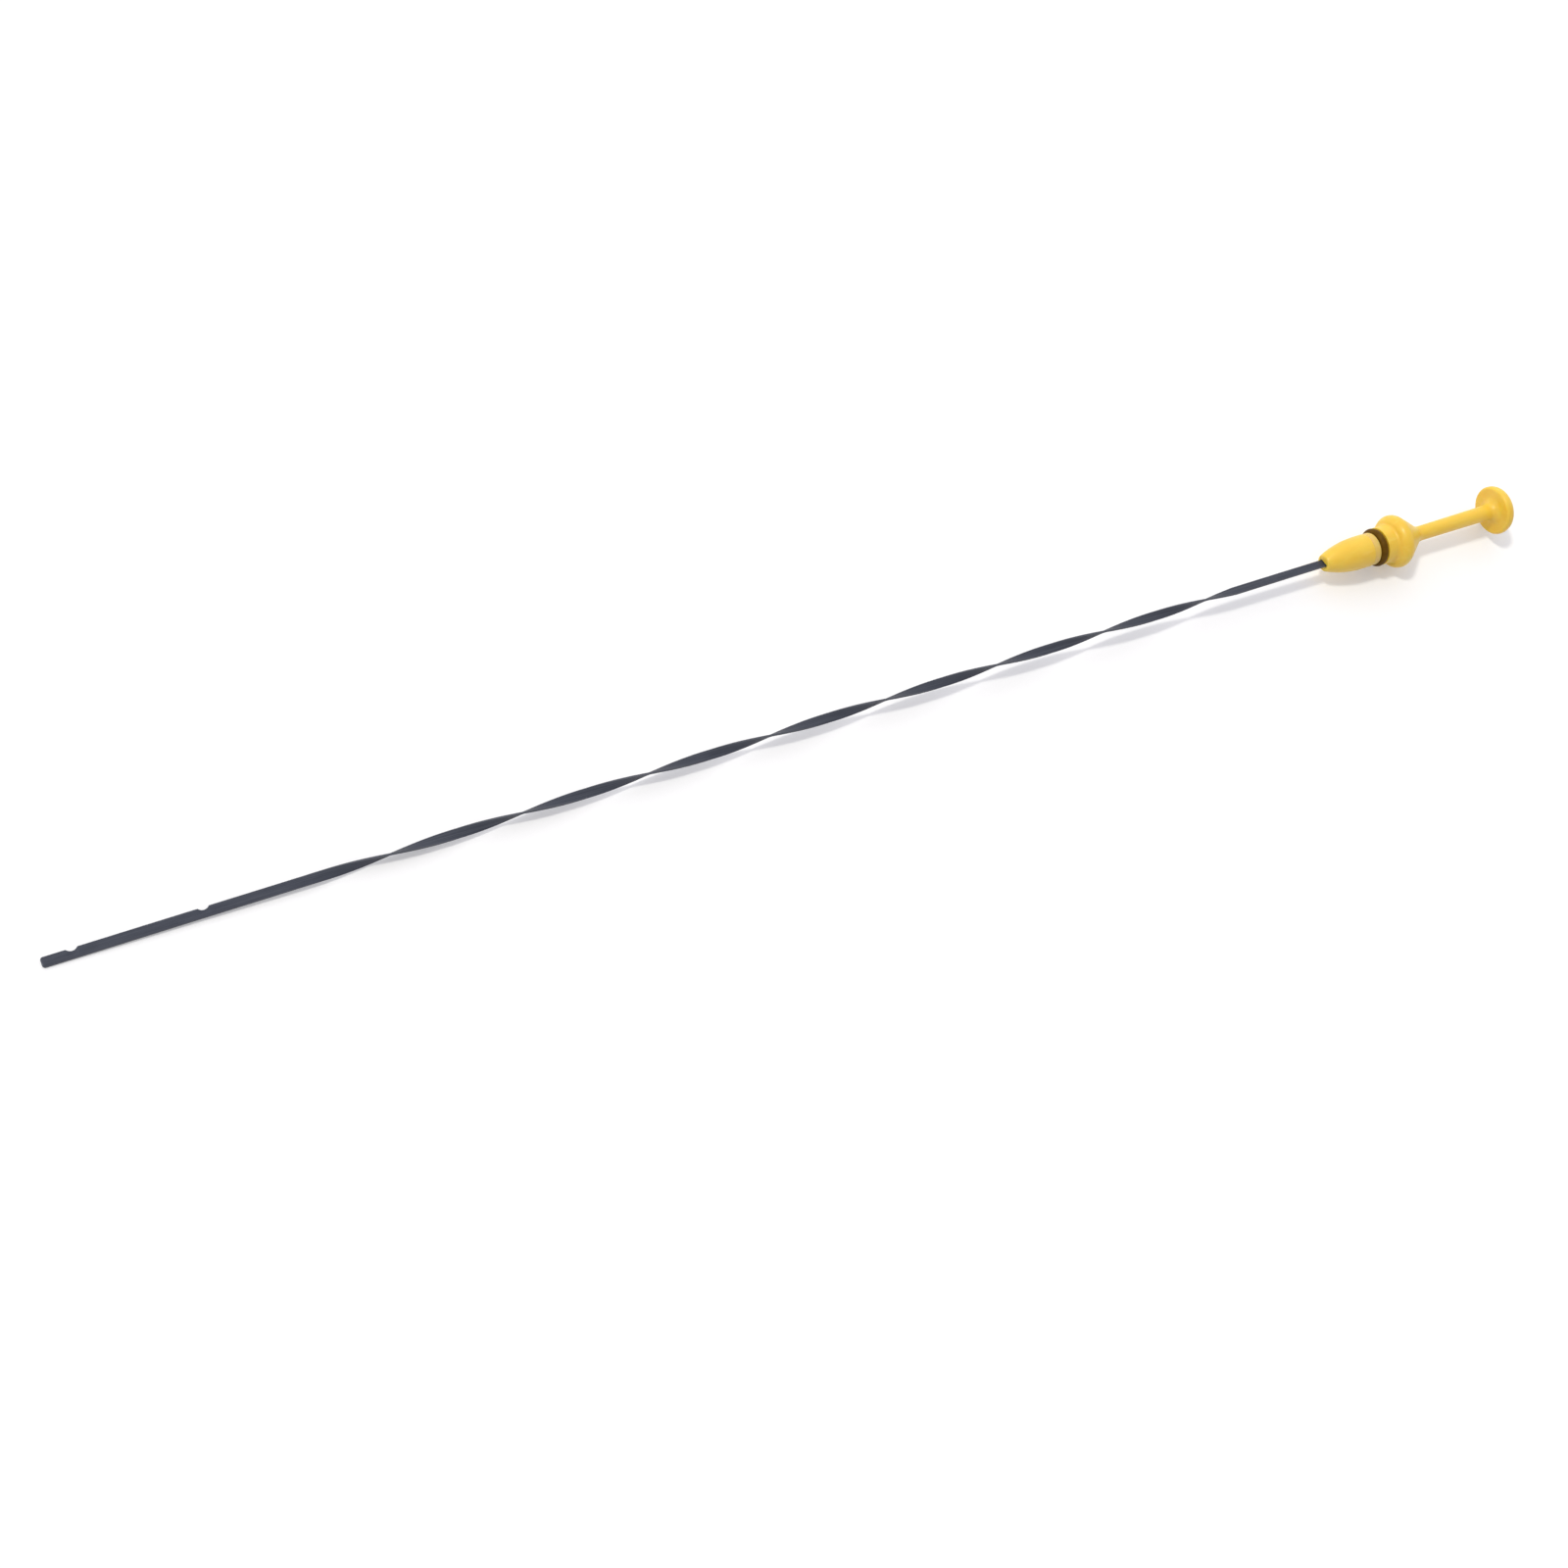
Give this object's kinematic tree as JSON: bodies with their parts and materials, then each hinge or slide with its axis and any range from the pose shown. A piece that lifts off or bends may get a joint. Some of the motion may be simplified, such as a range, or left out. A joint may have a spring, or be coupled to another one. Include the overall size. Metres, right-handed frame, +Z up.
{
  "type": "engine oil dipstick",
  "caption": "Slim oil level gauge lying flat: a twisted steel blade with gauge notches, and a yellow moulded pull handle with plug, seal ring, collar and knob.",
  "frame": {"origin": "on the ground, under the middle of the dipstick's box", "axes": "+X along the dipstick, from the blade's tip towards the knob, +Y towards the notched edge, +Z up"},
  "size_m": [0.6682, 0.024, 0.0242],
  "materials": {
    "blade_steel": "dark blued strip, satin",
    "handle_plastic": "moulded, satin gloss",
    "seal_rubber": "smooth, oiled"
  },
  "bodies": {
    "root": {"blade": "blade_steel", "handle": "handle_plastic", "seal_ring": "seal_rubber"}
  },
  "joints": []
}
